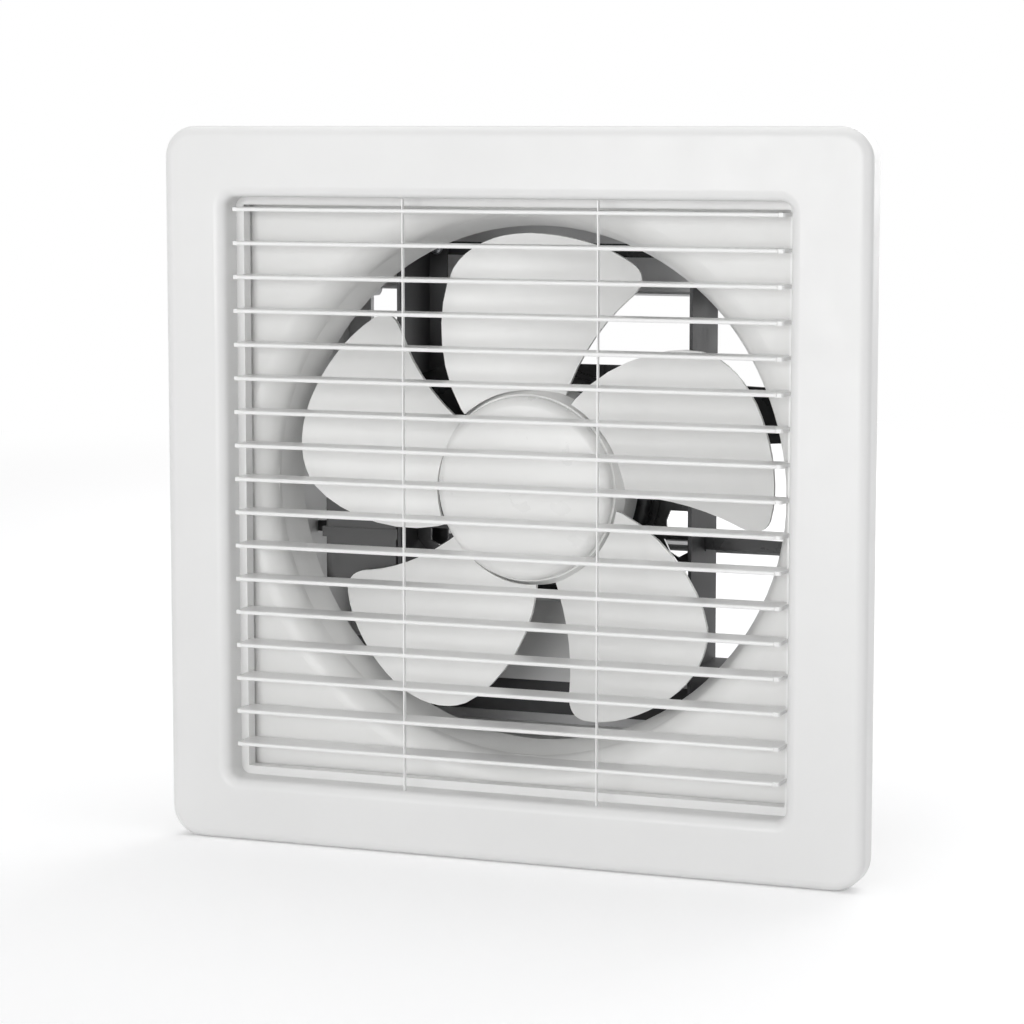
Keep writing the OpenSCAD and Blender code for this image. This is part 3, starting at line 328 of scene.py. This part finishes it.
MATERIALS = {
    "panel_white": moulded("panel_white", (0.84, 0.84, 0.835), 0.36),
    # grille_white is the panel's white plastic, made lighter as painted light so that the slats read brighter
    "grille_white": moulded("grille_white", (0.93, 0.93, 0.925), 0.34),
    # housing_white is the panel's white plastic, made lighter as painted light so that the duct interior
    # bounces more light
    "housing_white": moulded("housing_white", (0.88, 0.88, 0.87), 0.38),
    # impeller_white and cap_white are the panel's white plastic, made lighter as painted light to make up for
    # the shade in the recess behind the slats
    "impeller_white": moulded("impeller_white", (0.90, 0.90, 0.89), 0.34),
    "cap_white": moulded("cap_white", (0.90, 0.90, 0.89), 0.30),
    # frame_grey is a light grey whose tone is raised as painted light, so that the rail in the shade of the
    # duct reads lighter
    "frame_grey": moulded("frame_grey", (0.84, 0.84, 0.845), 0.45),
    "shutter_grey": moulded("shutter_grey", (0.36, 0.36, 0.365), 0.42),
    "box_grey": moulded("box_grey", (0.60, 0.60, 0.60), 0.4),
    "capacitor_grey": moulded("capacitor_grey", (0.075, 0.075, 0.075), 0.35),
    "gland_black": moulded("gland_black", (0.03, 0.03, 0.03), 0.4),
    "black_paint": painted("black_paint", (0.03, 0.03, 0.031), 0.24),
    "leg_paint": painted("leg_paint", (0.06, 0.06, 0.062), 0.45, 0.0),
    "zinc": brushed("zinc", (0.62, 0.63, 0.66), 0.3, (1.0, 1.0, 6.0)),
    "ground_steel": brushed("ground_steel", (0.56, 0.56, 0.58), 0.22, (1.0, 0.1, 1.0)),
    "laminated_steel": laminated("laminated_steel"),
    "copper_wire": enamelled("copper_wire"),
    "bearing_bronze": sintered("bearing_bronze"),
    "lacing_cord": moulded("lacing_cord", (0.70, 0.66, 0.55), 0.8, 2500.0, 0.00006, 0.12),
}

NODE_MATERIAL = {
    "front_panel": "panel_white",
    "louvre_grille": "grille_white",
    "cover_clips": "zinc",
    "fan_housing": "housing_white",
    "left_leg": "leg_paint",
    "right_leg": "leg_paint",
    "top_tie_bar": "black_paint",
    "bottom_tie_plate": "leg_paint",
    "motor_bracket": "black_paint",
    "leg_screws": "zinc",
    "shelf_screws": "zinc",
    "bracket_screws": "zinc",
    "tie_screws": "zinc",
    "motor_front_shell": "black_paint",
    "motor_rear_shell": "black_paint",
    "stator_core": "laminated_steel",
    "stator_windings": "copper_wire",
    "front_bearing": "bearing_bronze",
    "rear_bearing": "bearing_bronze",
    "motor_screws": "zinc",
    "terminal_box": "box_grey",
    "terminal_box_lid": "box_grey",
    "lid_screws": "zinc",
    "cable_gland": "gland_black",
    "capacitor": "capacitor_grey",
    "capacitor_strap": "capacitor_grey",
    "impeller": "impeller_white",
    "spinner_cap": "cap_white",
    "motor_shaft": "ground_steel",
    "rotor_core": "laminated_steel",
    "drive_pin": "ground_steel",
    "impeller_nut": "zinc",
    "shutter_frame": "frame_grey",
    "frame_screws": "zinc",
    "top_shutter": "shutter_grey",
    "middle_shutter": "shutter_grey",
    "bottom_shutter": "shutter_grey",
    "link_rod": "zinc",
}

# Radius of the broken edges in metres, where the plain solid has sharp ones
SOFT_EDGES = {
    "left_leg": 0.0003,
    "right_leg": 0.0003,
    "top_tie_bar": 0.0003,
    "bottom_tie_plate": 0.0003,
    "motor_bracket": 0.0003,
    "terminal_box": 0.0005,
    "terminal_box_lid": 0.0005,
    "capacitor": 0.0008,
    "cable_gland": 0.0003,
    "shutter_frame": 0.0005,
    "top_shutter": 0.0003,
    "middle_shutter": 0.0003,
    "bottom_shutter": 0.0003,
    "link_rod": 0.0002,
    "impeller_nut": 0.0003,
}

for node, key in NODE_MATERIAL.items():
    mesh = nodes[node].data
    mesh.materials.clear()
    mesh.materials.append(MATERIALS[key])


# Pieces in full detail
SHARP_DEG = 38
HEAD_SIDES = 48
THREAD_SIDES = 16
THREAD_PITCH = 0.0011
STRANDS = 26
WIRE_RADIUS = 0.0006
LACINGS = 24
CORD_RADIUS = 0.0004
SCREW_NODES = ("leg_screws", "shelf_screws", "bracket_screws", "tie_screws", "motor_screws", "lid_screws",
               "frame_screws")
BODY = {node: body for body, names in frame["record"]["behaviour"]["bodies"].items() for node in names}


def islands(node):
    """The separate solids of a CAD node, each as a list of points."""
    bm = bmesh.new()
    bm.from_mesh(nodes[node].data)
    bmesh.ops.remove_doubles(bm, verts=bm.verts, dist=1e-6)
    left = set(bm.verts)
    found = []
    while left:
        stack = [left.pop()]
        group = []
        while stack:
            vert = stack.pop()
            group.append(vert.co.copy())
            for edge in vert.link_edges:
                other = edge.other_vert(vert)
                if other in left:
                    left.remove(other)
                    stack.append(other)
        found.append(group)
    bm.free()
    return found


def piece(name, bm, material, *replaced):
    """Makes an object of a mesh, which rides on the body of the nodes that it stands for."""
    mesh = bpy.data.meshes.new(name)
    bm.to_mesh(mesh)
    bm.free()
    mesh.materials.append(material)
    mesh.shade_smooth()
    mesh.set_sharp_from_angle(angle=math.radians(SHARP_DEG))
    obj = bpy.data.objects.new(name, mesh)
    scene.collection.objects.link(obj)
    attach(obj, BODY[replaced[0]])
    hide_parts(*replaced)
    return obj


def ring(bm, radius, z, count):
    """A circle of points at a height."""
    turns = [2 * math.pi * k / count for k in range(count)]
    return [bm.verts.new((radius * math.cos(a), radius * math.sin(a), z)) for a in turns]


def bridge(bm, low, high):
    """Faces between two circles of points."""
    count = len(low)
    for k in range(count):
        bm.faces.new((low[k], low[(k + 1) % count], high[(k + 1) % count], high[k]))


def cross_recess(bm, radius, top, depth):
    """Sinks a tapering four-armed recess into a domed head."""
    for vert in bm.verts:
        x, y = abs(vert.co.x), abs(vert.co.y)
        reach = max(x, y)
        across = min(x, y)
        if vert.co.z > top - 0.0009 and reach < 0.6 * radius and across < 0.17 * radius:
            fall = 1.0 - reach / (0.75 * radius)
            vert.co.z = min(vert.co.z, top - depth * (0.35 + 0.65 * fall))


def screw_head(bm, radius, height):
    """A pan head whose top is a fine grid, so that the recess has crisp arms."""
    edge = [(0.93, 0.0), (1.0, 0.08), (1.0, 0.38), (0.93, 0.68), (0.78, 0.88)]
    dome = [(f, 1.0 - 0.2 * f * f) for f in (0.68, 0.62, 0.56, 0.48, 0.40, 0.32, 0.25, 0.2, 0.16, 0.11, 0.05)]
    rings = [ring(bm, radius * across, height * up, HEAD_SIDES) for across, up in edge + dome]
    for low, high in zip(rings, rings[1:]):
        bridge(bm, low, high)
    bm.faces.new(reversed(rings[0]))
    bm.faces.new(rings[-1])
    cross_recess(bm, radius, height, height * 0.75)


def screw_thread(bm, radius, length):
    """A coarse single-start thread that ends in a short taper."""
    steps = max(6, int(length / THREAD_PITCH * 6))
    last = None
    for i in range(steps + 1):
        z = -length * i / steps
        row = []
        for k in range(THREAD_SIDES):
            turn = (z / THREAD_PITCH + k / THREAD_SIDES) % 1.0
            ridge = max(0.0, 1.0 - abs(turn - 0.5) * 3.2)
            taper = min(1.0, (length + z) / 0.0018 * 0.55 + 0.45)
            r = (radius * 0.8 + radius * 0.2 * ridge) * taper
            a = 2 * math.pi * k / THREAD_SIDES
            row.append(bm.verts.new((r * math.cos(a), r * math.sin(a), z)))
        if last:
            bridge(bm, row, last)
        last = row
    bm.faces.new(reversed(last))


def screws(node, material):
    """Cross-recessed pan-head screws with threads, in the place of the plain ones."""
    bm = bmesh.new()
    for points in islands(node):
        low = Vector([min(p[i] for p in points) for i in range(3)])
        high = Vector([max(p[i] for p in points) for i in range(3)])
        size = high - low
        axis = max(range(3), key=lambda i: size[i])
        others = [i for i in range(3) if i != axis]
        middle = (low + high) / 2
        head_r = size[others[0]] / 2
        wide = [p[axis] for p in points
                if math.hypot(*(p[i] - middle[i] for i in others)) > 0.8 * head_r]
        outward = 1.0 if sum(wide) / len(wide) > middle[axis] else -1.0
        head_h = max(wide) - min(wide)
        seat = Vector(middle)
        seat[axis] = (max(wide) if outward < 0 else min(wide))
        direction = Vector((0.0, 0.0, 0.0))
        direction[axis] = outward
        one = bmesh.new()
        screw_head(one, head_r, head_h)
        screw_thread(one, head_r * 0.625, size[axis] - head_h)
        turn = Matrix.Rotation(seat.x * 40.0 + seat.z * 25.0, 4, "Z")
        place = Matrix.Translation(seat) @ direction.to_track_quat("Z", "Y").to_matrix().to_4x4() @ turn
        bmesh.ops.transform(one, matrix=place, verts=one.verts)
        mesh = bpy.data.meshes.new("one_screw")
        one.to_mesh(mesh)
        one.free()
        bm.from_mesh(mesh)
        bpy.data.meshes.remove(mesh)
    bmesh.ops.recalc_face_normals(bm, faces=bm.faces)
    piece(node + "_threaded", bm, material, node)


def tube(bm, points, radius, sides=6):
    """A closed tube along a closed line of points."""
    count = len(points)
    rows = []
    for k, point in enumerate(points):
        along = (points[(k + 1) % count] - points[k - 1]).normalized()
        side = along.cross(Vector((0.0, 1.0, 0.0)))
        if side.length < 0.1:
            side = along.cross(Vector((1.0, 0.0, 0.0)))
        side.normalize()
        up = side.cross(along)
        rows.append([bm.verts.new(point + side * (radius * math.cos(2 * math.pi * j / sides))
                                  + up * (radius * math.sin(2 * math.pi * j / sides))) for j in range(sides)])
    for k in range(count):
        bridge(bm, rows[k - 1], rows[k])


def windings():
    """End turns of enamelled wire, bound with cord."""
    wires = bmesh.new()
    cords = bmesh.new()
    for points in islands("stator_windings"):
        y_low = min(p.y for p in points)
        y_high = max(p.y for p in points)
        radii = [math.hypot(p.x, p.z) for p in points]
        mid_r = (max(radii) + min(radii)) / 2
        half_r = (max(radii) - min(radii)) / 2 - 0.0012
        mid_y = (y_low + y_high) / 2
        half_y = (y_high - y_low) / 2 - 0.0012
        for n in range(STRANDS):
            line = []
            for k in range(96):
                a = 2 * math.pi * k / 96
                place = 2 * math.pi * n / STRANDS + 0.25 * math.sin(6 * a + n)
                squeeze = 1.0 - 0.08 * math.cos(12 * a) ** 8
                r = mid_r + half_r * squeeze * max(-1.0, min(1.0, 1.25 * math.cos(place)))
                y = mid_y + half_y * squeeze * max(-1.0, min(1.0, 1.25 * math.sin(place)))
                line.append(Vector((r * math.cos(a), y, r * math.sin(a))))
            tube(wires, line, WIRE_RADIUS)
        for k in range(LACINGS):
            a = 2 * math.pi * k / LACINGS
            line = []
            for j in range(20):
                place = 2 * math.pi * j / 20
                r = mid_r + (half_r + 0.0005) * max(-1.0, min(1.0, 1.2 * math.cos(place)))
                y = mid_y + (half_y + 0.0005) * max(-1.0, min(1.0, 1.2 * math.sin(place)))
                line.append(Vector((r * math.cos(a), y, r * math.sin(a))))
            tube(cords, line, CORD_RADIUS)
    bmesh.ops.recalc_face_normals(wires, faces=wires.faces)
    bmesh.ops.recalc_face_normals(cords, faces=cords.faces)
    piece("winding_end_turns", wires, MATERIALS["copper_wire"], "stator_windings")
    piece("winding_lacing", cords, MATERIALS["lacing_cord"], "stator_windings")


def softened(node, width):
    """The same piece with its sharp edges broken, as a mould or a press leaves them."""
    bm = bmesh.new()
    bm.from_mesh(nodes[node].data)
    bmesh.ops.remove_doubles(bm, verts=bm.verts, dist=1e-6)
    bmesh.ops.dissolve_limit(bm, angle_limit=math.radians(0.4), verts=bm.verts, edges=bm.edges)
    sharp = [e for e in bm.edges if len(e.link_faces) == 2 and e.calc_face_angle() > math.radians(35)]
    bmesh.ops.bevel(bm, geom=sharp, offset=width, offset_type="OFFSET", segments=2, profile=0.5,
                    affect="EDGES", clamp_overlap=True)
    obj = piece(node + "_soft", bm, MATERIALS[NODE_MATERIAL[node]], node)
    even = obj.modifiers.new("even_shading", "WEIGHTED_NORMAL")
    even.keep_sharp = True


for node in SCREW_NODES:
    screws(node, MATERIALS[NODE_MATERIAL[node]])
windings()
for node, width in SOFT_EDGES.items():
    softened(node, width)
